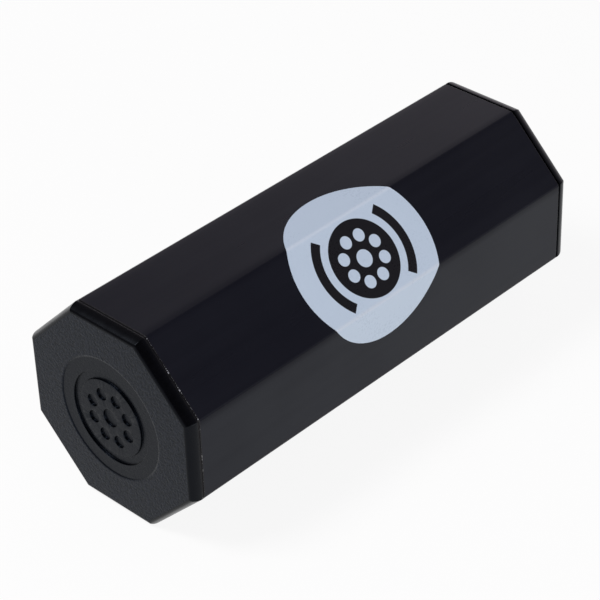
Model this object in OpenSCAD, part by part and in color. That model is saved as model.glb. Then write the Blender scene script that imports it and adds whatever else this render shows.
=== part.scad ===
// Percussion shaker: an octagonal metal tube with two moulded end caps, a round label and loose steel shot.
// Millimetres, +Z up. The tube lies along X on its bottom flat, and the origin is under its middle.

/* [Tube] */
// Width of the tube across opposite flats
across_flats = 50; // [44:0.5:60]
// Length of the tube between its cut ends
tube_length = 120; // [100:1:180]
// Thickness of the tube's wall
tube_wall = 1.6; // [1.2:0.1:2.4]
// Radius on the tube's outer corners
tube_corner_r = 1; // [0.3:0.1:1.5]
// Radius in the corners of the tube's bore
bore_corner_r = 0.4; // [0.2:0.1:0.8]

/* [End caps] */
// Height of a cap's flange beyond the tube's cut end
flange_height = 3.2; // [2.8:0.1:3.6]
// How far the flange's sides stand inside the tube's flats at the seam
flange_step = 0.05; // [0:0.05:0.3]
// Height of the groove between the flange and the tube's cut end
seam_gap = 0.5; // [0.3:0.05:0.6]
// Depth of that groove
seam_depth = 0.7; // [0.4:0.1:0.8]
// Radius of the curve that draws the flange's sides in
flank_r = 3.9; // [3.6:0.1:8]
// Radius on the edge of the cap's face
face_edge_r = 1; // [0.5:0.1:1.2]
// Thickness of the cap's end plate
plate_thickness = 2.2; // [1.6:0.1:3]
// Depth of the cap's plug inside the tube
plug_depth = 9; // [6:0.5:14]
// Thickness of the plug's wall
plug_wall = 1.8; // [1.2:0.1:2.6]
// Gap between the plug's sides and the tube's bore
plug_clearance = 0.25; // [0.15:0.05:0.4]
// Chamfer that leads the plug into the bore
plug_lead = 0.8; // [0.4:0.1:1.4]
// Width of a crush rib on the plug
rib_width = 1.2; // [0.8:0.1:2]
// Distance of each crush rib from the middle of its side
rib_offset = 6; // [4:0.5:7]

/* [Cap faces] */
// Diameter of the round recess in the cap's face
recess_d = 30; // [26:0.5:40]
// Depth of the round recess
recess_depth = 0.2; // [0.1:0.05:0.4]
// Depth of the ornament below the recess's floor
ornament_depth = 0.5; // [0.3:0.05:0.7]
// Mean diameter of the ornament's ring
ring_d = 21; // [19:0.5:23]
// Width of the ornament's ring
ring_width = 2; // [1:0.1:2.4]
// Diameter of one of the ornament's dots
dot_d = 3; // [2:0.1:3.8]
// Diameter of the circle on which the dots lie
dot_circle_d = 11.6; // [11:0.1:12.4]
// Number of dots on that circle
dot_count = 8; // [6:1:8]
// Diameter of the dot in the middle
middle_dot_d = 4.4; // [3:0.1:6]

/* [Label] */
// Diameter of the round label before it is folded
label_d = 39.8; // [30:0.1:44]
// Thickness of the label
label_thickness = 0.15; // [0.1:0.05:0.3]
// Longest straight stretch of the label's edge
label_step = 2; // [1:0.25:4]
// Place of the label's middle along the tube
label_x = -0.95; // [-20:0.05:20]
// Distance of the label's middle below the middle of its flat
label_drop = 0.2; // [-2:0.05:2]

/* [Shot] */
// Diameter of one ball of shot
shot_d = 4; // [3.2:0.1:4.8]
// Gap between neighbouring balls
shot_gap = 0.2; // [0.1:0.05:0.4]
// Gap between a ball and the wall that it lies on
wall_gap = 0.2; // [0.1:0.05:0.4]
// Room at each end of the rows on the tube's lowest flats
floor_room = 7; // [4:0.5:20]
// Room at each end of the rows in the middle layer
middle_room = 15; // [8:0.5:28]
// Room at each end of the rows in the top layer
top_room = 30; // [16:0.5:38]

/* [Hidden] */
SIDES = 8;
TURN = 360 / SIDES;
HALF_TURN = TURN / 2;
ARC_STEPS = 5;
ROUND = 64;
BALL_ROUND = 32;
OVERCUT = 1;
TINY = 0.001;

bore_across = across_flats - 2 * tube_wall;
flat_width = across_flats * tan(HALF_TURN);
bore_flat_width = bore_across * tan(HALF_TURN);

// The flange's side is an arc that leaves the seam along the tube and runs into the arc of the face's edge.
// The tube's cut end bears on a seat below it, inside the seam's groove.
flange_half = across_flats / 2 - flange_step;
seat_half = flange_half - seam_depth;
flank_centre = flange_half - flank_r;
flank_angle = asin((flange_height - seam_gap - face_edge_r) / (flank_r - face_edge_r));
edge_centre = flank_centre + (flank_r - face_edge_r) * cos(flank_angle);
plug_half = bore_across / 2 - plug_clearance;
pocket_across = 2 * (plug_half - plug_wall);
pocket_end = flange_height - plate_thickness;

// The label's edge, laid flat: [along the tube, round the tube]. It starts where the edge crosses a fold, goes
// over the lower flat, across the middle one, over the upper flat and back across the middle one.
lower_fold = asin((flat_width - 2 * label_drop) / label_d);
upper_fold = asin((flat_width + 2 * label_drop) / label_d);
lower_arc = label_arc(lower_fold, 180 - lower_fold);
front_arc = label_arc(180 - lower_fold, 180 + upper_fold);
upper_arc = label_arc(180 + upper_fold, 360 - upper_fold);
rear_arc = label_arc(-upper_fold, lower_fold);
label_edge = concat(lower_arc, front_arc, upper_arc, rear_arc);
front_start = len(lower_arc);
upper_start = front_start + len(front_arc);
rear_start = upper_start + len(upper_arc);
label_panels = [
    [for (i = [0 : front_start]) i],
    [for (i = [upper_start : rear_start]) i],
    [
        each [for (i = [front_start : upper_start]) i],
        each [for (i = [rear_start : len(label_edge) - 1]) i],
        0
    ]
];

// Lanes of shot, as [y, height above the bore's lowest flat]. The outermost lane on that flat also lies
// against the slanting flat, the wedge lane lies next to it up that flat, and the others nest above them.
pitch = shot_d + shot_gap;
floor_height = shot_d / 2 + wall_gap;
floor_reach = bore_flat_width / 2 - floor_height * tan(HALF_TURN);
floor_count = floor(2 * floor_reach / pitch) + 1;
lane_step = 2 * floor_reach / (floor_count - 1);
rise = sqrt(pitch * pitch - lane_step * lane_step / 4);
wedge = [floor_reach + pitch * cos(TURN), floor_height + pitch * sin(TURN)];
outer_middle = [floor_reach - lane_step / 2, floor_height + rise];
shoulder = above(outer_middle, wedge, pitch);

floor_lanes = layer(floor_count, floor_height);
middle_lanes = layer(floor_count - 1, floor_height + rise);
top_lanes = layer(floor_count - 2, floor_height + 2 * rise);

chamber_length = tube_length - 2 * plug_depth;
SHOT_ROWS = concat(
    rows("floor", floor_lanes, floor_room),
    rows("wedge", both_sides(wedge), floor_room),
    rows("middle", middle_lanes, middle_room),
    rows("top", top_lanes, top_room),
    rows("shoulder", both_sides(shoulder), top_room)
);

// The lanes of one layer, side by side about the tube's middle
function layer(count, height) = [for (i = [0 : count - 1]) [(i - (count - 1) / 2) * lane_step, height]];

// A lane and its mirror image
function both_sides(lane) = [[-lane[0], lane[1]], lane];

// The place at one distance from two lanes, above them
function above(left, right, distance) =
    let (
        span = right - left,
        half = norm(span) / 2,
        lift = sqrt(distance * distance - half * half)
    )
    (left + right) / 2 + lift * [-span[1], span[0]] / norm(span);

// Rows of one layer, as [name, lane, number of balls, shift along the tube]. Neighbours are half a ball apart.
function rows(group, lanes, room) =
    [for (i = [0 : len(lanes) - 1])
        [
            str("shot_", group, "_row_", i + 1),
            lanes[i],
            floor((chamber_length - 2 * room - shot_d) / pitch) + 1,
            (i % 2 - 0.5) * pitch / 2
        ]];

// Points along an arc about a centre
function arc(centre, r, from, to) =
    [for (i = [0 : ARC_STEPS])
        let (angle = from + (to - from) * i / ARC_STEPS)
        centre + r * [cos(angle), sin(angle)]];

// Points along the label's edge, without the last one, where the next stretch starts
function label_arc(from, to) =
    let (steps = ceil(PI * label_d * (to - from) / 360 / label_step))
    [for (i = [0 : steps - 1])
        let (angle = from + (to - from) * i / steps)
        label_d / 2 * [cos(angle), sin(angle)] + [0, label_drop]];

// A point of the flat label on the tube, at a height above the flat that it lies on. The middle flat's points
// spread with the height, so that those on a fold lie at the same height above both flats.
function folded(point, height) =
    let (
        flat = abs(point[1]) <= flat_width / 2 + TINY ? 0 : sign(point[1]),
        spread = 1 + 2 * height * tan(HALF_TURN) / flat_width,
        across = flat == 0 ? point[1] * spread : point[1] - flat * flat_width,
        angle = (flat + 1) * TURN,
        level = across_flats / 2 + height
    )
    [
        label_x + point[0],
        -across * cos(angle) - level * sin(angle),
        across_flats / 2 - across * sin(angle) + level * cos(angle)
    ];

// An octagon of a given width across its flats, with round corners
function rounded_octagon(across, r) =
    [for (i = [0 : SIDES - 1])
        let (corner = HALF_TURN + i * TURN, reach = (across / 2 - r) / cos(HALF_TURN))
        each arc(reach * [cos(corner), sin(corner)], r, corner - HALF_TURN, corner + HALF_TURN)];

// Half of a cap's profile, from the plug's mouth to the edge of the face: distance from the axis and height
function cap_side() =
    concat(
        [
            [plug_half - plug_lead, -plug_depth],
            [plug_half, -plug_depth + plug_lead],
            [plug_half, 0],
            [seat_half, 0],
            [seat_half, seam_gap]
        ],
        arc([flank_centre, seam_gap], flank_r, 0, flank_angle),
        arc([edge_centre, flange_height - face_edge_r], face_edge_r, flank_angle, 90)
    );

function mirrored(points) = [for (i = [len(points) - 1 : -1 : 0]) [-points[i][0], points[i][1]]];

// Lays a shape that stands on Z along the tube's axis
module along_tube() {
    translate([0, 0, across_flats / 2])
        rotate([0, 90, 0])
            children();
}

// A straight prism on an octagon with flats at the given width
module octagon_prism(across, height) {
    rotate([0, 0, HALF_TURN])
        cylinder(d = across / cos(HALF_TURN), h = height, $fn = SIDES);
}

// The octagonal outside of a cap: the same profile drawn across each pair of opposite sides
module cap_outside() {
    intersection_for (i = [0 : SIDES / 2 - 1])
        rotate([90, 0, i * TURN])
            linear_extrude(2 * across_flats, center = true)
                polygon(concat(cap_side(), mirrored(cap_side())));
}

// Ribs on the plug's sides that bear on the tube's bore
module crush_ribs() {
    rib_length = plug_depth - 2 * plug_lead;
    for (i = [0 : SIDES - 1], side = [-1, 1])
        rotate([0, 0, i * TURN])
            translate([plug_half - plug_wall / 2, side * rib_offset - rib_width / 2, -rib_length])
                cube([plug_wall / 2 + plug_clearance, rib_width, rib_length]);
}

// The ring and dots that are sunk into the recess's floor
module ornament() {
    height = ornament_depth + OVERCUT;
    difference() {
        cylinder(d = ring_d + ring_width, h = height, $fn = ROUND);
        translate([0, 0, -OVERCUT])
            cylinder(d = ring_d - ring_width, h = height + 2 * OVERCUT, $fn = ROUND);
    }
    for (i = [0 : dot_count - 1])
        rotate([0, 0, (i + 0.5) * 360 / dot_count])
            translate([dot_circle_d / 2, 0, 0])
                cylinder(d = dot_d, h = height, $fn = ROUND);
    cylinder(d = middle_dot_d, h = height, $fn = ROUND);
}

// A cap with its seam at height 0, its face above and its plug below
module end_cap() {
    recess_floor = flange_height - recess_depth;
    difference() {
        union() {
            cap_outside();
            crush_ribs();
        }
        translate([0, 0, -plug_depth - OVERCUT])
            octagon_prism(pocket_across, plug_depth + OVERCUT + pocket_end);
        translate([0, 0, recess_floor])
            cylinder(d = recess_d, h = recess_depth + OVERCUT, $fn = ROUND);
        translate([0, 0, recess_floor - ornament_depth])
            ornament();
    }
}

module tube() {
    color("#232326")
        along_tube()
            linear_extrude(tube_length, center = true)
                difference() {
                    polygon(rounded_octagon(across_flats, tube_corner_r));
                    polygon(rounded_octagon(bore_across, bore_corner_r));
                }
}

module front_end_cap() {
    color("#2e2f33")
        along_tube()
            mirror([0, 0, 1])
                translate([0, 0, tube_length / 2])
                    end_cap();
}

module rear_end_cap() {
    color("#2e2f33")
        along_tube()
            translate([0, 0, tube_length / 2])
                end_cap();
}

// The label: its flat outline laid over the tube's flats twice, inside and outside, with a rim between
module side_label() {
    count = len(label_edge);
    inside = [for (point = label_edge) folded(point, 0)];
    outside = [for (point = label_edge) folded(point, label_thickness)];
    rim = [for (i = [0 : count - 1])
        let (next = (i + 1) % count)
        each [[i, next, count + next], [i, count + next, count + i]]];
    color("#bcc8d6")
        polyhedron(
            points = concat(inside, outside),
            faces = concat(
                [for (panel = label_panels) [for (i = panel) count + i]],
                [for (panel = label_panels) [for (i = [len(panel) - 1 : -1 : 0]) panel[i]]],
                rim
            )
        );
}

// The balls of one lane, as separate spheres in line
module shot_row(row) {
    count = row[2];
    color("#a9abad")
        translate([row[3], row[1][0], tube_wall + row[1][1]])
            for (i = [0 : count - 1])
                translate([(i - (count - 1) / 2) * pitch, 0, 0])
                    sphere(d = shot_d, $fn = BALL_ROUND);
}

tube();
front_end_cap();
rear_end_cap();
side_label();
for (row = SHOT_ROWS)
    shot_row(row);
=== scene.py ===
"""Looks of an octagonal percussion shaker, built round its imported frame. Lengths are in metres."""
import math
import random

import bmesh
import bpy
from mathutils import Matrix, Vector


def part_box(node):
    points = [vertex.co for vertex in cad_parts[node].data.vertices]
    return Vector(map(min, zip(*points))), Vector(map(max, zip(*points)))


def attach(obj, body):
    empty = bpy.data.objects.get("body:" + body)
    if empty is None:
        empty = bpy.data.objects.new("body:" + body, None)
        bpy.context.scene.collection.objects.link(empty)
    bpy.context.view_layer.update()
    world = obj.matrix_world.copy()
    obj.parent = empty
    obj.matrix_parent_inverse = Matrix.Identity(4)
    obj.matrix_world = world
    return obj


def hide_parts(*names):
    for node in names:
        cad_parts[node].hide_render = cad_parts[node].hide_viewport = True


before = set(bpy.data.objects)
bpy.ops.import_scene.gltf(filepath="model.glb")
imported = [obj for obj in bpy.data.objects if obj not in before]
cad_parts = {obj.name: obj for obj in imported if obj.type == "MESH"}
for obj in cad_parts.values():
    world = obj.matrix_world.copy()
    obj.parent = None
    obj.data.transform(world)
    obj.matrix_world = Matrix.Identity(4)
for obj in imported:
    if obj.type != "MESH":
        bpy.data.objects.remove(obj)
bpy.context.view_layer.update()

MM = 0.001

# Sizes that the frame gives
tube_low, tube_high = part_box("tube")
cap_low, cap_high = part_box("front_end_cap")
label_low, label_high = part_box("side_label")
ACROSS = tube_high.z - tube_low.z
AXIS_Z = (tube_high.z + tube_low.z) / 2
TUBE_HALF = tube_high.x
FLANGE_HEIGHT = tube_low.x - cap_low.x
PLUG_DEPTH = cap_high.x - tube_low.x
LABEL_R = (label_high.x - label_low.x) / 2
LABEL_X = (label_high.x + label_low.x) / 2
LABEL_THICKNESS = label_high.z - tube_high.z

# The octagon, and the angles of two of its flats round the tube
SIDES = 8
TURN = math.tau / SIDES
HALF_TURN = TURN / 2
UPPER_FRONT_FLAT = math.radians(135)
FRONT_FLAT = math.radians(180)

# Tube
TUBE_WALL = 1.6 * MM
TUBE_CORNER_R = 1.0 * MM
BORE_CORNER_R = 0.4 * MM
EASE_R = 25 * MM
EASE_ANGLE = math.radians(4)
CUT_EDGE_R = 0.12 * MM

# End caps
FLANGE_STEP = 0.05 * MM
SEAM_GAP = 0.5 * MM
SEAM_DEPTH = 0.7 * MM
FLANK_R = 3.9 * MM
FACE_EDGE_R = 1.0 * MM
CAP_CORNER_R = 0.2 * MM
PLATE_THICKNESS = 2.2 * MM
PLUG_WALL = 1.8 * MM
PLUG_CLEARANCE = 0.25 * MM
PLUG_LEAD = 0.8 * MM
SEAM_EDGE_R = 0.15 * MM
RIB_WIDTH = 1.2 * MM
RIB_OFFSET = 6 * MM
RECESS_R = 14.8 * MM
RECESS_DEPTH = 0.2 * MM
RECESS_LIP_R = 1.2 * MM
ORNAMENT_DEPTH = 0.5 * MM
ORNAMENT_EDGE_R = 0.12 * MM
ORNAMENT_DRAFT = 0.08 * MM
RING_R = 10.5 * MM
RING_WIDTH = 2 * MM
DOT_R = 1.5 * MM
DOT_CIRCLE_R = 5.8 * MM
DOT_COUNT = 8
MIDDLE_DOT_R = 2.2 * MM

# Label
LABEL_DROP = 0.2 * MM
LABEL_SEAT = 0.01 * MM
FOLD_LIFT = 0.03 * MM
FOLD_LIFT_WIDTH = 0.9 * MM
CREASE_WIDTH = 0.7 * MM
PRINT_DISC_R = 9.4 * MM
PRINT_DOT_R = 1.55 * MM
PRINT_DOT_CIRCLE_R = 5.5 * MM
PRINT_MIDDLE_R = 2.1 * MM
PRINT_ARC_R = 12.6 * MM
PRINT_ARC_WIDTH = 2.4 * MM
PRINT_ARC_SLOPE = math.tan(math.radians(42))
PRINT_SOFTNESS = 0.06 * MM

# Glue in the front seam. A bead on the upper front flat is its place, as a share of the flat's half width,
# and its radius in millimetres. Strands, which are long thin beads, are their flat's angle, their number,
# and their least and greatest radius in millimetres.
GLUE_BEADS = [
    (-0.95, 0.11), (-0.24, 0.10), (-0.20, 0.12), (-0.15, 0.17),
    (0.20, 0.10), (0.27, 0.19), (0.33, 0.09), (0.95, 0.15),
]
GLUE_STRANDS = [(UPPER_FRONT_FLAT, 30, 0.013, 0.032), (FRONT_FLAT, 26, 0.012, 0.026)]
GLUE_DEPTH = 0.14 * MM
GLUE_HOLLOW = 0.06 * MM
GLUE_GAP = 0.02 * MM
STRAND_REACH = 0.95
STRAND_SHIFT = (0.2, 0.8)
BEAD_SINK = 0.04 * MM

# Shape of a bead, as shares of its radius
BEAD_FORWARD = 0.4
BEAD_FLATNESS = 0.6
BEAD_TIP = 0.58
BEAD_UNEVENNESS = (0.85, 1.1)
BEAD_STRETCH = (1.1, 1.8)
STRAND_STRETCH = (3, 7)

# Fineness of the meshes
CORNER_STEPS = 6
EASE_STEPS = 3
FLAT_STEPS = 8
ARC_STEPS = 8
LIP_STEPS = 6
SUNK_STEPS = 4
EDGE_STEPS = 3
DOT_POINTS = 40
LABEL_ROW_DEGREES = 2
LABEL_COLUMN_DEGREES = 5
FOLD_ROWS = 16
FOLD_ROW_STEP = 0.15 * MM
BEAD_POINTS = 10
BEAD_LEVELS = 5
SHARP_ANGLE = math.radians(38)

# Colours of the finishes: the darkest and the lightest tone, or the only one
TUBE_BLACK = (0.0034, 0.0036, 0.0070, 1), (0.0060, 0.0062, 0.0110, 1)
# The tube's glint tint: its darker tone is painted shade beside the corners, its lighter tone the full glint
# of the flats
TUBE_GLINT_SHADED_TO_FULL = (0.15, 0.17, 0.19, 1), (0.94, 1.05, 1.15, 1)
WORN_BLACK = (0.005, 0.005, 0.006, 1)
BARE_METAL = (0.30, 0.30, 0.31, 1), (0.66, 0.66, 0.67, 1)
FACE_BLACK = (0.0003, 0.0005, 0.0010, 1), (0.009, 0.0110, 0.0160, 1)
FACE_GLINT = (0.70, 0.87, 1.24, 1)
FLANK_BLACK = (0.0006, 0.0006, 0.0010, 1), (0.0022, 0.0022, 0.0030, 1)
FLANK_GLINT = (0.84, 0.95, 1.15, 1)
VINYL = (0.451, 0.544, 0.667, 1), (0.501, 0.596, 0.716, 1)
VINYL_CREASE = (0.66, 0.70, 0.78, 1)
PRINT_BLACK = (0.0026, 0.0028, 0.0050, 1)
STEEL = (0.40, 0.40, 0.41, 1), (0.62, 0.62, 0.63, 1)
GLUE_CLEAR = (0.11, 0.115, 0.13, 1), (0.30, 0.31, 0.345, 1)
GLUE_DARK = (0.002, 0.002, 0.003, 1), (0.010, 0.010, 0.012, 1)
FLOOR_WHITE = (0.84, 0.82, 0.74, 1)
FLOOR_SEEN = (0.09, 0.09, 0.09, 1)
ROOM_WHITE = (1.07, 0.985, 1.05, 1)

# Share of its full glint that the tube shows on a flat and along its corners, and how that varies.
# The lower share along its corners is painted shade, and it falls to nothing at the corners of the upright
# flats.
FLAT_GLINT = 0.8
SHADED_CORNER_GLINT = 0.55
CORNER_SHADE_WIDTH = 2.3 * MM
STREAK_GLINT = 0.2
CLOUD_GLINT = 0.13

# Spans of a noise texture's values over which a finish changes
NOISE_SPAN = (0.3, 0.7)
NARROW_SPAN = (0.35, 0.65)
WIDE_SPAN = (0.2, 0.8)
WORN_SPAN = (0.62, 0.70)

# Camera: where the photograph was taken from, round the middle of the shaker
CAMERA_LENS_MM = 137.4
CAMERA_SENSOR_MM = 36.0
CAMERA_CLIP = (0.01, 50)
CAMERA_AZIMUTH = math.radians(-45.54)
CAMERA_ELEVATION = math.radians(35.10)
CAMERA_ROLL = math.radians(-2.05)
CAMERA_DISTANCE = 528.4 * MM
CAMERA_AIM_RIGHT = -2.35 * MM
CAMERA_AIM_UP = -1.82 * MM
CAMERA_AIM_X = -0.26 * MM

# Floor and room. A room level runs between two levels over a span of the direction looked in.
FLOOR_HALF = 6.0
FLOOR_DROP = 0.05 * MM
FLOOR_GLOW = 0.905
FRONT_TO_REAR_SPAN = (-0.3, 0.3)
FRONT_RISE_SPAN = (0.08, 0.46)
FRONT_LOW_LEVEL = 0.97
LEFT_TO_RIGHT_SPAN = (-0.2, 0.6)
FRONT_HIGH_LEVELS = (0.04, 0.33)
REAR_RISE_SPAN = (-0.15, 0.33)
REAR_LEVELS = (1.12, 0.22)
REAR_SLANT = 0.6

random.seed(7)


# Outlines and meshes

def direction(angle):
    """Unit vector in the plane across the tube, as (y, z)."""
    return Vector((math.cos(angle), math.sin(angle)))


def octagon(across, corner_r, ease_r=None):
    """Points round an octagon with flats up and down. A wider arc can ease its corners into the flats."""
    ease_r = ease_r or corner_r
    last = HALF_TURN - EASE_ANGLE
    reach = (across / 2 - ease_r - (corner_r - ease_r) * math.cos(EASE_ANGLE)) / math.cos(HALF_TURN)
    corners = []
    for side in range(SIDES):
        middle = HALF_TURN + side * TURN
        centre = reach * direction(middle)
        centre_before = centre + (corner_r - ease_r) * direction(middle - last)
        centre_after = centre + (corner_r - ease_r) * direction(middle + last)
        corner = []
        for i in range(EASE_STEPS):
            angle = middle - HALF_TURN + EASE_ANGLE * i / EASE_STEPS
            corner.append(centre_before + ease_r * direction(angle))
        for i in range(CORNER_STEPS + 1):
            corner.append(centre + corner_r * direction(middle - last + 2 * last * i / CORNER_STEPS))
        for i in range(EASE_STEPS):
            angle = middle + last + EASE_ANGLE * (i + 1) / EASE_STEPS
            corner.append(centre_after + ease_r * direction(angle))
        corners.append(corner)
    outline = []
    for corner, following in zip(corners, corners[1:] + corners[:1]):
        outline += corner
        for i in range(1, FLAT_STEPS):
            outline.append(corner[-1].lerp(following[0], i / FLAT_STEPS))
    return outline


def circle(r, count):
    """Points round a circle, the same way round as an octagon's."""
    return [r * direction(math.tau * i / count) for i in range(count)]


def arc(centre, r, start, end, steps=ARC_STEPS):
    """Points on an arc in a profile, as (distance, height)."""
    angles = [start + (end - start) * i / steps for i in range(steps + 1)]
    return [(centre[0] + r * math.cos(a), centre[1] + r * math.sin(a)) for a in angles]


class Form:
    """Points and faces of one piece, with a material number for each face."""

    def __init__(self):
        self.points = []
        self.faces = []
        self.materials = []

    def ring(self, points):
        """Adds points and returns their numbers."""
        first = len(self.points)
        self.points += points
        return list(range(first, len(self.points)))

    def face(self, corners, material=0):
        self.faces.append(corners)
        self.materials.append(material)

    def bridge(self, one, two, material=0):
        """Joins two rings that have as many points by a band of faces."""
        count = len(one)
        for i in range(count):
            j = (i + 1) % count
            self.face((one[i], one[j], two[j], two[i]), material)

    def fan(self, ring, point, material=0):
        """Closes a ring by triangles that meet in a point."""
        tip = self.ring([point])[0]
        for i in range(len(ring)):
            self.face((ring[i], ring[(i + 1) % len(ring)], tip), material)

    def box(self, low, high):
        """Adds a box and returns the numbers of its corners."""
        xs, ys, zs = zip(low, high)
        corners = self.ring([(x, y, z) for x in xs for y in ys for z in zs])
        for face in ((0, 1, 3, 2), (4, 6, 7, 5), (0, 4, 5, 1), (2, 3, 7, 6), (0, 2, 6, 4), (1, 5, 7, 3)):
            self.face([corners[i] for i in face])
        return corners

    def piece(self, name, materials, matrix=None):
        """Makes the object, with smooth faces that stay crisp at sharp edges. A face left open is filled."""
        mesh = bpy.data.meshes.new(name)
        mesh.from_pydata([tuple(p) for p in self.points], [], self.faces)
        for material in materials:
            mesh.materials.append(material)
        mesh.polygons.foreach_set("material_index", self.materials)
        if matrix is not None:
            mesh.transform(matrix)
        work = bmesh.new()
        work.from_mesh(mesh)
        open_edges = [edge for edge in work.edges if edge.is_boundary]
        if open_edges:
            bmesh.ops.triangle_fill(work, edges=open_edges, use_beauty=True)
        bmesh.ops.recalc_face_normals(work, faces=work.faces)
        for face in work.faces:
            face.smooth = True
        for edge in work.edges:
            edge.smooth = edge.calc_face_angle(0.0) < SHARP_ANGLE
        work.to_mesh(mesh)
        work.free()
        thing = bpy.data.objects.new(name, mesh)
        bpy.context.scene.collection.objects.link(thing)
        weighted = thing.modifiers.new("even_shading", "WEIGHTED_NORMAL")
        weighted.keep_sharp = True
        return thing


# Materials

class Nodes:
    """A node tree under construction."""

    def __init__(self, tree):
        self.tree = tree

    def node(self, kind, **settings):
        made = self.tree.nodes.new(kind)
        for key, value in settings.items():
            setattr(made, key, value)
        return made

    def put(self, socket, value):
        """Links another socket to this one, or sets this one to a value."""
        if isinstance(value, bpy.types.NodeSocket):
            self.tree.links.new(value, socket)
        else:
            socket.default_value = value

    def math(self, operation, *values):
        made = self.node("ShaderNodeMath", operation=operation)
        for socket, value in zip(made.inputs, values):
            self.put(socket, value)
        return made.outputs[0]

    def length(self, one, two):
        """Length of the long side over two short ones at a right angle."""
        squares = self.math("ADD", self.math("MULTIPLY", one, one), self.math("MULTIPLY", two, two))
        return self.math("SQRT", squares)

    def parts(self, vector):
        made = self.node("ShaderNodeSeparateXYZ")
        self.put(made.inputs[0], vector)
        return made.outputs

    def spread(self, value, span, levels):
        """Runs smoothly from one level to another while the value crosses the span."""
        made = self.node("ShaderNodeMapRange", interpolation_type="SMOOTHSTEP")
        for socket, number in zip(made.inputs, (value, *span, *levels)):
            self.put(socket, number)
        return made.outputs[0]

    def mix(self, share, one, two):
        made = self.node("ShaderNodeMix", data_type="RGBA")
        self.put(made.inputs["Factor"], share)
        for name, value in (("A", one), ("B", two)):
            socket = next(s for s in made.inputs if s.name == name and s.type == "RGBA")
            self.put(socket, value)
        return next(s for s in made.outputs if s.type == "RGBA")


class Shader(Nodes):
    """A material under construction, with a Principled shader."""

    def __init__(self, name):
        self.material = bpy.data.materials.new(name)
        self.material.use_nodes = True
        super().__init__(self.material.node_tree)
        self.principled = next(n for n in self.tree.nodes if n.type == "BSDF_PRINCIPLED")
        self.place = self.node("ShaderNodeTexCoord").outputs["Object"]

    def noise(self, scale, stretch=(1, 1, 1), detail=3.0, roughness=0.5):
        mapping = self.node("ShaderNodeMapping")
        self.put(mapping.inputs["Vector"], self.place)
        mapping.inputs["Scale"].default_value = stretch
        made = self.node("ShaderNodeTexNoise")
        self.put(made.inputs["Vector"], mapping.outputs[0])
        made.inputs["Scale"].default_value = scale
        made.inputs["Detail"].default_value = detail
        made.inputs["Roughness"].default_value = roughness
        return made.outputs["Fac"]

    def bump(self, height, strength, distance, below=None):
        made = self.node("ShaderNodeBump")
        self.put(made.inputs["Height"], height)
        made.inputs["Strength"].default_value = strength
        made.inputs["Distance"].default_value = distance
        if below is not None:
            self.put(made.inputs["Normal"], below)
        return made.outputs[0]

    def set(self, **values):
        for key, value in values.items():
            self.put(self.principled.inputs[key.replace("_", " ")], value)


def satin_black_shaded_corners():
    """Black finish on the extruded tube, with faint lines along it, and with less glint beside its corners
    as painted shade.
    """
    s = Shader("black_satin_metal_shaded_corners")
    lines = s.noise(1.0, stretch=(9, 700, 700), detail=4.0)
    bands = s.noise(1.0, stretch=(4, 130, 130), detail=2.0)
    streak = s.noise(1.0, stretch=(7, 330, 330))
    cloud = s.noise(55.0)
    wide_cloud = s.noise(38.0, detail=2.0)
    fine = s.noise(5200.0, detail=2.0)
    place = s.parts(s.place)
    angle = s.math("ARCTAN2", s.math("SUBTRACT", place["Z"], AXIS_Z), place["Y"])
    past_corner = s.math("MODULO", s.math("ADD", angle, math.tau + HALF_TURN), TURN)
    off_middle = s.math("ABSOLUTE", s.math("SUBTRACT", past_corner, HALF_TURN))
    to_corner = s.math("SUBTRACT", math.tan(HALF_TURN), s.math("TANGENT", off_middle))
    to_corner = s.math("MULTIPLY", to_corner, ACROSS / 2)
    upright = s.math("GREATER_THAN", s.math("ABSOLUTE", s.math("COSINE", angle)), math.cos(HALF_TURN))
    # Painted shade: less glint beside every corner, and none of its share beside the corners of the upright
    # flats
    shaded_corner_share = s.math("SUBTRACT", SHADED_CORNER_GLINT, s.math("MULTIPLY", upright, SHADED_CORNER_GLINT))
    glint_and_shade = s.spread(to_corner, (0.0, CORNER_SHADE_WIDTH), (shaded_corner_share, FLAT_GLINT))
    glint_and_shade = s.math("ADD", glint_and_shade, s.spread(streak, NOISE_SPAN, (0.0, STREAK_GLINT)))
    glint_and_shade = s.math("ADD", glint_and_shade, s.spread(wide_cloud, NARROW_SPAN, (-CLOUD_GLINT, CLOUD_GLINT)))
    shade = s.math("ADD", s.math("MULTIPLY", lines, 0.6), s.math("MULTIPLY", bands, 0.4))
    rough = s.math("ADD", s.spread(bands, NOISE_SPAN, (0.23, 0.29)), s.math("MULTIPLY", cloud, 0.06))
    drawn = s.bump(lines, strength=0.12, distance=0.004 * MM)
    s.set(Base_Color=s.mix(shade, *TUBE_BLACK))
    s.set(Roughness=s.math("ADD", rough, s.math("MULTIPLY", lines, 0.03)))
    s.set(Normal=s.bump(fine, strength=0.10, distance=0.004 * MM, below=drawn))
    # The glint tint carries the painted shade along the corners
    s.set(Specular_IOR_Level=0.145, Specular_Tint=s.mix(glint_and_shade, *TUBE_GLINT_SHADED_TO_FULL))
    return s.material


def worn_metal():
    """Sawn end of the tube: black, worn to bare metal in places."""
    s = Shader("worn_tube_end")
    saw = s.noise(1.0, stretch=(60, 2600, 420))
    wear = s.noise(330.0, detail=4.0, roughness=0.65)
    worn = s.spread(wear, WORN_SPAN, (0.0, 0.6))
    s.set(Base_Color=s.mix(worn, WORN_BLACK, s.mix(saw, *BARE_METAL)))
    s.set(Metallic=worn)
    s.set(Roughness=s.spread(saw, WIDE_SPAN, (0.28, 0.5)))
    s.set(Normal=s.bump(saw, strength=0.4, distance=0.02 * MM))
    s.set(Specular_IOR_Level=0.3)
    return s.material


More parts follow.
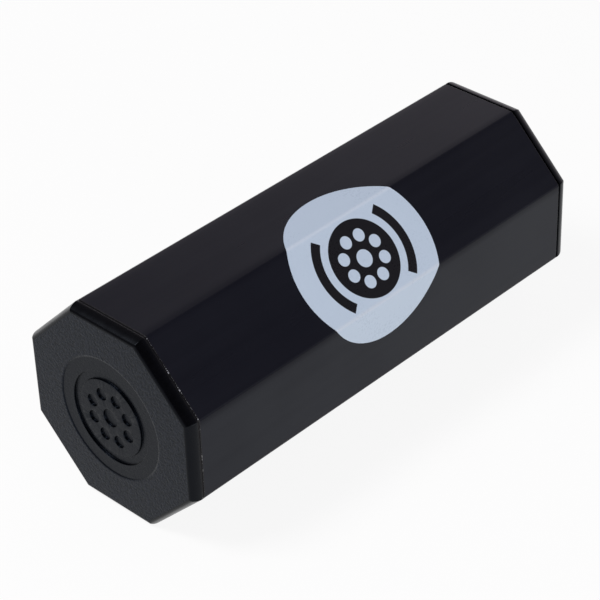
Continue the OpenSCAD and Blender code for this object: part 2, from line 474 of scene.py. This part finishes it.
def grained_plastic():
    """Black plastic on the cap's face: the mould's grain round the recess, and its smoother floor."""
    s = Shader("grained_black_plastic")
    place = s.parts(s.place)
    radius = s.length(place["Y"], s.math("SUBTRACT", place["Z"], AXIS_Z))
    coarse = s.spread(radius, (RECESS_R, RECESS_R + 0.4 * MM), (0.35, 1.0))
    grain = s.noise(1500.0, roughness=0.6)
    raised = s.math("MULTIPLY", grain, coarse)
    cloud = s.noise(140.0)
    s.set(Base_Color=s.mix(s.spread(raised, NARROW_SPAN, (0.0, 1.0)), *FACE_BLACK))
    rough = s.spread(grain, NOISE_SPAN, (0.22, 0.32))
    s.set(Roughness=s.math("ADD", rough, s.math("MULTIPLY", cloud, 0.06)))
    s.set(Normal=s.bump(raised, strength=1.0, distance=0.10 * MM))
    s.set(Specular_IOR_Level=0.108, Specular_Tint=FACE_GLINT)
    return s.material


def smooth_plastic():
    """The same plastic on the cap's sides, where the mould is smooth."""
    s = Shader("smooth_black_plastic")
    cloud = s.noise(260.0, detail=4.0)
    drag = s.noise(1.0, stretch=(180, 1500, 1500))
    s.set(Base_Color=s.mix(drag, *FLANK_BLACK))
    s.set(Roughness=s.spread(cloud, NOISE_SPAN, (0.20, 0.28)))
    s.set(Normal=s.bump(drag, strength=0.1, distance=0.01 * MM))
    s.set(Specular_IOR_Level=0.108, Specular_Tint=FLANK_GLINT)
    return s.material


def printed_vinyl():
    """Pale vinyl label with a black disc, dots and arcs. Its UV map holds the place on the flat label."""
    s = Shader("printed_vinyl")
    flat = s.parts(s.node("ShaderNodeUVMap", uv_map="flat").outputs["UV"])
    along, around = flat["X"], flat["Y"]
    radius = s.length(along, around)

    def inside(distance, r):
        return s.spread(distance, (r - PRINT_SOFTNESS, r + PRINT_SOFTNESS), (1.0, 0.0))

    step = math.tau / DOT_COUNT
    angle = s.math("ADD", s.math("ARCTAN2", around, along), math.tau)
    off_dot = s.math("SUBTRACT", s.math("MODULO", angle, step), step / 2)
    across = s.math("MULTIPLY", radius, s.math("SINE", off_dot))
    outward = s.math("SUBTRACT", s.math("MULTIPLY", radius, s.math("COSINE", off_dot)), PRINT_DOT_CIRCLE_R)
    dots = s.math("MAXIMUM", inside(s.length(across, outward), PRINT_DOT_R), inside(radius, PRINT_MIDDLE_R))
    disc = s.math("MULTIPLY", inside(radius, PRINT_DISC_R), s.math("SUBTRACT", 1.0, dots))
    to_arc = s.math("ABSOLUTE", s.math("SUBTRACT", radius, PRINT_ARC_R))
    arc_end = s.math("MULTIPLY", s.math("ABSOLUTE", along), PRINT_ARC_SLOPE)
    past_end = s.math("SUBTRACT", s.math("ABSOLUTE", around), arc_end)
    arcs = s.math("MULTIPLY", inside(to_arc, PRINT_ARC_WIDTH / 2), inside(past_end, 0.0))
    black = s.math("MAXIMUM", disc, arcs)

    down = s.math("ABSOLUTE", s.math("ADD", around, LABEL_DROP))
    to_fold = s.math("ABSOLUTE", s.math("SUBTRACT", down, ACROSS / 2 * math.tan(HALF_TURN)))
    crease = s.spread(to_fold, (0.0, CREASE_WIDTH), (0.35, 0.0))
    mottle = s.noise(1900.0)
    cloud = s.noise(90.0, detail=2.0)
    shade = s.math("ADD", s.math("MULTIPLY", mottle, 0.5), s.math("MULTIPLY", cloud, 0.5))
    vinyl = s.mix(crease, s.mix(shade, *VINYL), VINYL_CREASE)
    s.set(Base_Color=s.mix(black, vinyl, PRINT_BLACK))
    s.set(Roughness=s.spread(shade, NOISE_SPAN, (0.26, 0.34)))
    relief = s.math("ADD", black, s.math("MULTIPLY", mottle, 0.25))
    s.set(Normal=s.bump(relief, strength=0.25, distance=0.01 * MM))
    s.set(Specular_IOR_Level=0.26)
    return s.material


def polished_steel():
    """Steel shot, with the small marks of its knocking about."""
    s = Shader("steel_shot")
    marks = s.noise(1500.0, detail=4.0, roughness=0.65)
    s.set(Base_Color=s.mix(marks, *STEEL))
    s.set(Metallic=1.0)
    s.set(Roughness=s.spread(marks, NOISE_SPAN, (0.16, 0.34)))
    s.set(Normal=s.bump(marks, strength=0.2, distance=0.02 * MM))
    return s.material


def dried_glue():
    """Clear glue that was squeezed out at the seam."""
    s = Shader("dried_glue")
    cloud = s.noise(2600.0, detail=2.0)
    s.set(Base_Color=s.mix(cloud, *GLUE_CLEAR))
    s.set(Roughness=s.spread(cloud, NOISE_SPAN, (0.12, 0.3)))
    s.set(Normal=s.bump(cloud, strength=0.3, distance=0.03 * MM))
    return s.material


def dark_glue():
    """The same glue in the seam, where the black round it shows through."""
    s = Shader("glue_in_seam")
    cloud = s.noise(900.0)
    s.set(Base_Color=s.mix(cloud, *GLUE_DARK))
    s.set(Roughness=s.spread(cloud, NOISE_SPAN, (0.22, 0.38)))
    s.set(Normal=s.bump(cloud, strength=0.3, distance=0.03 * MM))
    s.set(Specular_IOR_Level=0.08)
    return s.material


# Pieces

def across_tube(x, outline):
    """An outline of (y, z) points set round the tube's axis."""
    return [(x, p[0], AXIS_Z + p[1]) for p in outline]


def make_tube(finish, worn):
    """The extrusion: its outside, its bore, and sawn ends with a worn, slightly broken edge."""
    form = Form()
    bore = octagon(ACROSS - 2 * TUBE_WALL, BORE_CORNER_R)
    edge = arc((-CUT_EDGE_R, -CUT_EDGE_R), CUT_EDGE_R, 0, math.pi / 2, EDGE_STEPS)
    ends = []
    for side in (-1, 1):
        outside = []
        for out, along in edge:
            outline = octagon(ACROSS + 2 * out, TUBE_CORNER_R + out, EASE_R)
            outside.append(form.ring(across_tube(side * (TUBE_HALF + along), outline)))
        rim = form.ring(across_tube(side * TUBE_HALF, bore))
        for one, two in zip(outside, outside[1:] + [rim]):
            form.bridge(one, two, 1)
        ends.append((outside[0], rim))
    for front, rear in zip(*ends):
        form.bridge(front, rear)
    return form.piece("tube_extrusion", [finish, worn])


def turned(form, r, height, centre, count):
    """A ring of points round a line along the tube, through centre."""
    return form.ring([(height, centre[0] + p[0], centre[1] + p[1]) for p in circle(r, count)])


def sunk_side():
    """The side of a sunk form, from its rounded lip to its floor: distance from the lip and height."""
    r = ORNAMENT_EDGE_R
    root_centre = (2 * r + ORNAMENT_DRAFT, r - ORNAMENT_DEPTH)
    lip = arc((0, -r), r, math.pi / 2, 0, SUNK_STEPS)
    root = arc(root_centre, r, math.pi, 1.5 * math.pi, SUNK_STEPS)
    return lip + root


def cap_profile():
    """A cap's side, from its pocket to the edge of its face, as (distance from the axis, height)."""
    flange_half = ACROSS / 2 - FLANGE_STEP
    plug_half = ACROSS / 2 - TUBE_WALL - PLUG_CLEARANCE
    pocket_half = plug_half - PLUG_WALL
    seat_half = flange_half - SEAM_DEPTH
    flank_centre = flange_half - FLANK_R
    flank_angle = math.asin((FLANGE_HEIGHT - SEAM_GAP - FACE_EDGE_R) / (FLANK_R - FACE_EDGE_R))
    edge_centre = flank_centre + (FLANK_R - FACE_EDGE_R) * math.cos(flank_angle)
    seam_centre = (flange_half - SEAM_EDGE_R, SEAM_GAP + SEAM_EDGE_R)
    seam = arc(seam_centre, SEAM_EDGE_R, -math.pi / 2, 0, EDGE_STEPS)
    flank = arc((flank_centre, SEAM_GAP), FLANK_R, math.asin(SEAM_EDGE_R / FLANK_R), flank_angle)
    edge = arc((edge_centre, FLANGE_HEIGHT - FACE_EDGE_R), FACE_EDGE_R, flank_angle, math.pi / 2)
    return [
        (pocket_half, FLANGE_HEIGHT - PLATE_THICKNESS),
        (pocket_half, -PLUG_DEPTH),
        (plug_half - PLUG_LEAD, -PLUG_DEPTH),
        (plug_half, PLUG_LEAD - PLUG_DEPTH),
        (plug_half, 0),
        (seat_half, 0),
        (seat_half, SEAM_GAP),
        *seam, *flank[1:], *edge[1:],
    ]


def face_profile():
    """A cap's face, from its recess's lip to its sunk ring's inside, as (distance from the axis, height)."""
    recess_floor = FLANGE_HEIGHT - RECESS_DEPTH
    lip_angle = math.acos(1 - RECESS_DEPTH / RECESS_LIP_R)
    lip_centre = (RECESS_R + RECESS_LIP_R * math.sin(lip_angle), FLANGE_HEIGHT - RECESS_LIP_R)
    lip = arc(lip_centre, RECESS_LIP_R, math.pi / 2, math.pi / 2 + lip_angle, LIP_STEPS)
    outer_lip = RING_R + RING_WIDTH / 2 + ORNAMENT_EDGE_R
    inner_lip = RING_R - RING_WIDTH / 2 - ORNAMENT_EDGE_R
    outer = [(outer_lip - d, recess_floor + h) for d, h in sunk_side()]
    inner = [(inner_lip + d, recess_floor + h) for d, h in reversed(sunk_side())]
    return lip + outer + inner


def add_ribs(form):
    """Crush ribs on the plug's sides, which bear on the tube's bore."""
    plug_half = ACROSS / 2 - TUBE_WALL - PLUG_CLEARANCE
    rib_length = PLUG_DEPTH - 2 * PLUG_LEAD
    for i in range(SIDES):
        for offset in (-RIB_OFFSET, RIB_OFFSET):
            rib = form.box((-rib_length, plug_half - PLUG_WALL / 2, offset - RIB_WIDTH / 2),
                           (0, plug_half + PLUG_CLEARANCE, offset + RIB_WIDTH / 2))
            turn = Matrix.Rotation(i * TURN, 3, "X")
            for corner in rib:
                form.points[corner] = tuple(turn @ Vector(form.points[corner]))


def make_cap(name, grained, smooth, side):
    """A moulded cap: plug, flange with drawn-in sides, face with a round recess and a sunk ring and dots."""
    form = Form()
    sides = []
    for half, height in cap_profile():
        outline = octagon(2 * half, CAP_CORNER_R)
        sides.append(form.ring([(height, p[0], p[1]) for p in outline]))
    form.fan(sides[0], (FLANGE_HEIGHT - PLATE_THICKNESS, 0, 0), 1)
    for one, two in zip(sides, sides[1:]):
        form.bridge(one, two, 1)

    face = [turned(form, r, height, (0, 0), len(sides[-1])) for r, height in face_profile()]
    for one, two in zip([sides[-1]] + face, face):
        form.bridge(one, two)
    recess_floor = FLANGE_HEIGHT - RECESS_DEPTH
    places = [DOT_CIRCLE_R * direction((i + 0.5) * math.tau / DOT_COUNT) for i in range(DOT_COUNT)]
    for centre, r in [((0, 0), MIDDLE_DOT_R)] + [(tuple(p), DOT_R) for p in places]:
        lip_r = r + ORNAMENT_EDGE_R
        dot = [turned(form, lip_r - d, recess_floor + h, centre, DOT_POINTS) for d, h in sunk_side()]
        for one, two in zip(dot, dot[1:]):
            form.bridge(one, two)
        form.fan(dot[-1], (recess_floor - ORNAMENT_DEPTH, *centre))
    add_ribs(form)

    outward = Matrix.Diagonal((side, 1, 1, 1))
    return form.piece(name, [grained, smooth], Matrix.Translation((side * TUBE_HALF, 0, AXIS_Z)) @ outward)


def on_tube(along, around, height):
    """A place on the tube: around is measured over its corners, down from the upper front flat's middle."""
    reach = ACROSS / 2 - EASE_R + (EASE_R - TUBE_CORNER_R) * math.cos(EASE_ANGLE)
    straight = reach * math.tan(HALF_TURN) - (EASE_R - TUBE_CORNER_R) * math.sin(EASE_ANGLE)
    ease = (EASE_R * EASE_ANGLE, EASE_R)
    corner = (TUBE_CORNER_R * (TURN - 2 * EASE_ANGLE), TUBE_CORNER_R)
    way = math.copysign(1, around)
    rest = abs(around)
    angle = UPPER_FRONT_FLAT
    place = ACROSS / 2 * direction(angle)
    for length, r in ((straight, 0), ease, corner, ease, (ACROSS, 0)):
        step = min(rest, length)
        rest -= step
        if r == 0:
            place = place + way * step * direction(angle + math.pi / 2)
        else:
            place = place + r * (direction(angle + way * step / r) - direction(angle))
            angle += way * step / r
    place = place + height * direction(angle)
    return (along, place[0], AXIS_Z + place[1])


def make_label(vinyl):
    """A thin round sheet, laid over three flats, lifted a trace where it folds."""
    fold = ACROSS / 2 * math.tan(HALF_TURN)
    steps = range(LABEL_ROW_DEGREES - 90, 90, LABEL_ROW_DEGREES)
    rows = [LABEL_R * math.sin(math.radians(a)) for a in steps]
    near_fold = [FOLD_ROW_STEP * i for i in range(-FOLD_ROWS, FOLD_ROWS + 1)]
    rows += [side * fold - LABEL_DROP + step for side in (-1, 1) for step in near_fold]
    rows = sorted(rows)
    columns = [math.sin(math.radians(a)) for a in range(-90, 91, LABEL_COLUMN_DEGREES)]
    top_level = LABEL_THICKNESS - FOLD_LIFT

    def height(around, level):
        lift = FOLD_LIFT * math.exp(-((abs(around + LABEL_DROP) - fold) / FOLD_LIFT_WIDTH) ** 2)
        return level + (lift if level > LABEL_SEAT else 0)

    form = Form()
    flat = []

    def row(around, level):
        chord = math.sqrt(max(LABEL_R ** 2 - around ** 2, 0))
        places = [(chord * c, around) for c in columns]
        flat.extend(places)
        return form.ring([on_tube(LABEL_X + u, LABEL_DROP + v, height(v, level)) for u, v in places])

    def tip(around, level):
        flat.append((0, around))
        return form.ring([on_tube(LABEL_X, LABEL_DROP + around, height(around, level))])[0]

    top = [row(v, top_level) for v in rows]
    low = [row(v, LABEL_SEAT) for v in rows]
    for sheet in (top, low):
        for one, two in zip(sheet, sheet[1:]):
            for i in range(len(columns) - 1):
                form.face((one[i], one[i + 1], two[i + 1], two[i]))
    for end in (0, -1):
        for i in range(len(rows) - 1):
            form.face((top[i][end], top[i + 1][end], low[i + 1][end], low[i][end]))
    for index, around in ((0, -LABEL_R), (-1, LABEL_R)):
        tips = (tip(around, top_level), tip(around, LABEL_SEAT))
        for sheet, point in zip((top, low), tips):
            for i in range(len(columns) - 1):
                form.face((sheet[index][i], sheet[index][i + 1], point))
        for end in (0, -1):
            form.face((top[index][end], low[index][end], tips[1], tips[0]))
    label = form.piece("folded_label", [vinyl])
    layer = label.data.uv_layers.new(name="flat")
    for loop in label.data.loops:
        layer.data[loop.index].uv = flat[loop.vertex_index]
    return label


def bead(form, flat_angle, share, r, stretch):
    """An uneven bead on the edge of the tube's front end, at a share of a flat's half width."""
    normal, along = direction(flat_angle), direction(flat_angle + math.pi / 2)
    centre = (ACROSS / 2 - BEAD_SINK) * normal + share * ACROSS / 2 * math.tan(HALF_TURN) * along
    middle = Vector((-TUBE_HALF - BEAD_FORWARD * r, centre[0], AXIS_Z + centre[1]))
    out = Vector((0, normal[0], normal[1]))
    side = Vector((0, along[0], along[1]))
    fore = Vector((-1, 0, 0))
    rings = []
    for level in range(1, BEAD_LEVELS):
        lift = math.pi * level / BEAD_LEVELS
        ring = []
        for i in range(BEAD_POINTS):
            angle = math.tau * i / BEAD_POINTS
            reach = math.sin(lift) * (math.cos(angle) * fore + stretch * math.sin(angle) * side)
            uneven = r * random.uniform(*BEAD_UNEVENNESS)
            ring.append(middle + uneven * (BEAD_FLATNESS * math.cos(lift) * out + reach))
        rings.append(form.ring(ring))
    for one, two in zip(rings, rings[1:]):
        form.bridge(one, two)
    form.fan(rings[0], middle + BEAD_TIP * r * out)
    form.fan(rings[-1], middle - BEAD_TIP * r * out)


def make_glue(glue, dark):
    """Glue that fills the groove at the front cap, with beads and fine strands squeezed out of it."""
    form = Form()
    seat = ACROSS / 2 - FLANGE_STEP - SEAM_DEPTH + GLUE_GAP
    level = ACROSS / 2 - GLUE_DEPTH
    profile = [
        (seat, GLUE_GAP),
        (level, GLUE_GAP),
        (level - GLUE_HOLLOW, SEAM_GAP / 2),
        (level, SEAM_GAP - GLUE_GAP),
        (seat, SEAM_GAP - GLUE_GAP),
    ]
    rings = []
    for half, forward in profile:
        outline = octagon(2 * half, TUBE_CORNER_R)
        rings.append(form.ring(across_tube(-TUBE_HALF - forward, outline)))
    for one, two in zip(rings, rings[1:] + rings[:1]):
        form.bridge(one, two, 1)
    for share, size in GLUE_BEADS:
        bead(form, UPPER_FRONT_FLAT, share, size * MM, random.uniform(*BEAD_STRETCH))
    for flat_angle, count, low, high in GLUE_STRANDS:
        for i in range(count):
            share = (i + random.uniform(*STRAND_SHIFT)) / count * 2 * STRAND_REACH - STRAND_REACH
            bead(form, flat_angle, share, random.uniform(low, high) * MM, random.uniform(*STRAND_STRETCH))
    return form.piece("seam_glue", [glue, dark])


# Stage

def make_floor():
    """A wide white floor that shows plain white to the camera, apart from the object's shadow."""
    mesh = bpy.data.meshes.new("studio_floor")
    sides = ((-1, -1), (1, -1), (1, 1), (-1, 1))
    corners = [(x * FLOOR_HALF, y * FLOOR_HALF, -FLOOR_DROP) for x, y in sides]
    mesh.from_pydata(corners, [], [(0, 1, 2, 3)])
    floor = bpy.data.objects.new("studio_floor", mesh)
    bpy.context.scene.collection.objects.link(floor)
    s = Shader("white_floor")
    rays = s.node("ShaderNodeLightPath").outputs
    mirrored = s.math("MAXIMUM", rays["Is Glossy Ray"], rays["Is Transmission Ray"])
    seen = s.math("MAXIMUM", rays["Is Camera Ray"], mirrored)
    s.set(Base_Color=s.mix(seen, FLOOR_WHITE, FLOOR_SEEN))
    s.set(Roughness=0.9, Specular_IOR_Level=0.0)
    s.set(Emission_Color=(1, 1, 1, 1), Emission_Strength=s.math("MULTIPLY", seen, FLOOR_GLOW))
    s.material.cycles.emission_sampling = "NONE"
    mesh.materials.append(s.material)


def area_light(name, place, aim, size, power):
    """A rectangular lamp that is turned towards its aim."""
    light = bpy.data.lights.new(name, "AREA")
    light.shape = "RECTANGLE"
    light.size, light.size_y = size
    light.energy = power
    thing = bpy.data.objects.new(name, light)
    thing.location = place
    thing.rotation_euler = (Vector(aim) - Vector(place)).to_track_quat("-Z", "Y").to_euler()
    bpy.context.scene.collection.objects.link(thing)


def make_light():
    """A soft box above, a low white panel in front, and a dim room that is bright along the floor."""
    area_light("soft_box", place=(-0.46, 0.285, 0.845), aim=(0, 0, 0), size=(0.30, 0.30), power=6.3)
    area_light("low_panel", place=(0.0, -1.0, 0.15), aim=(0, 0, 0.02), size=(0.5, 0.26), power=4.2)
    world = bpy.data.worlds.new("studio")
    world.use_nodes = True
    bpy.context.scene.world = world
    n = Nodes(world.node_tree)
    background = next(node for node in n.tree.nodes if node.type == "BACKGROUND")
    way = n.parts(n.node("ShaderNodeTexCoord").outputs["Generated"])
    behind = n.spread(way["Y"], FRONT_TO_REAR_SPAN, (0.0, 1.0))
    front_high = n.spread(way["X"], LEFT_TO_RIGHT_SPAN, FRONT_HIGH_LEVELS)
    front = n.spread(way["Z"], FRONT_RISE_SPAN, (FRONT_LOW_LEVEL, front_high))
    rise = n.math("SUBTRACT", way["Z"], n.math("MULTIPLY", way["X"], REAR_SLANT))
    rear = n.spread(rise, REAR_RISE_SPAN, REAR_LEVELS)
    level = n.math("ADD", n.math("MULTIPLY", behind, rear),
                   n.math("MULTIPLY", n.math("SUBTRACT", 1.0, behind), front))
    background.inputs["Color"].default_value = ROOM_WHITE
    n.put(background.inputs["Strength"], level)


def make_camera():
    """The photograph's camera, which looks at its aim and leans by its roll."""
    a, e = CAMERA_AZIMUTH, CAMERA_ELEVATION
    back = Vector((math.sin(a) * math.cos(e), -math.cos(a) * math.cos(e), math.sin(e)))
    right = Vector((math.cos(a), math.sin(a), 0))
    up = back.cross(right)
    aim = Vector((CAMERA_AIM_X, 0, AXIS_Z)) + CAMERA_AIM_RIGHT * right + CAMERA_AIM_UP * up
    turned_right = math.cos(CAMERA_ROLL) * right + math.sin(CAMERA_ROLL) * up
    turned_up = -math.sin(CAMERA_ROLL) * right + math.cos(CAMERA_ROLL) * up
    data = bpy.data.cameras.new("camera")
    data.lens = CAMERA_LENS_MM
    data.sensor_width = CAMERA_SENSOR_MM
    data.clip_start, data.clip_end = CAMERA_CLIP
    camera = bpy.data.objects.new("camera", data)
    turn = Matrix((turned_right, turned_up, back)).transposed().to_4x4()
    camera.matrix_world = Matrix.Translation(aim + CAMERA_DISTANCE * back) @ turn
    bpy.context.scene.collection.objects.link(camera)
    bpy.context.scene.camera = camera


def main():
    make_camera()
    make_floor()
    make_light()
    bpy.context.scene.view_settings.view_transform = "Standard"

    finishes = (grained_plastic(), smooth_plastic())
    tube = make_tube(satin_black_shaded_corners(), worn_metal())
    front_cap = make_cap("front_cap_moulding", *finishes, -1)
    rear_cap = make_cap("rear_cap_moulding", *finishes, 1)
    label = make_label(printed_vinyl())
    glue = make_glue(dried_glue(), dark_glue())
    for piece, node, slot in (
        (tube, "tube", "tube_metal"),
        (front_cap, "front_end_cap", "cap_plastic"),
        (rear_cap, "rear_end_cap", "cap_plastic"),
        (label, "side_label", "label_vinyl"),
    ):
        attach(piece, "shell")
        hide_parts(node)
    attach(glue, "shell")

    steel = polished_steel()
    for name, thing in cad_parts.items():
        if name.startswith("shot_"):
            thing.data.materials.clear()
            thing.data.materials.append(steel)


main()
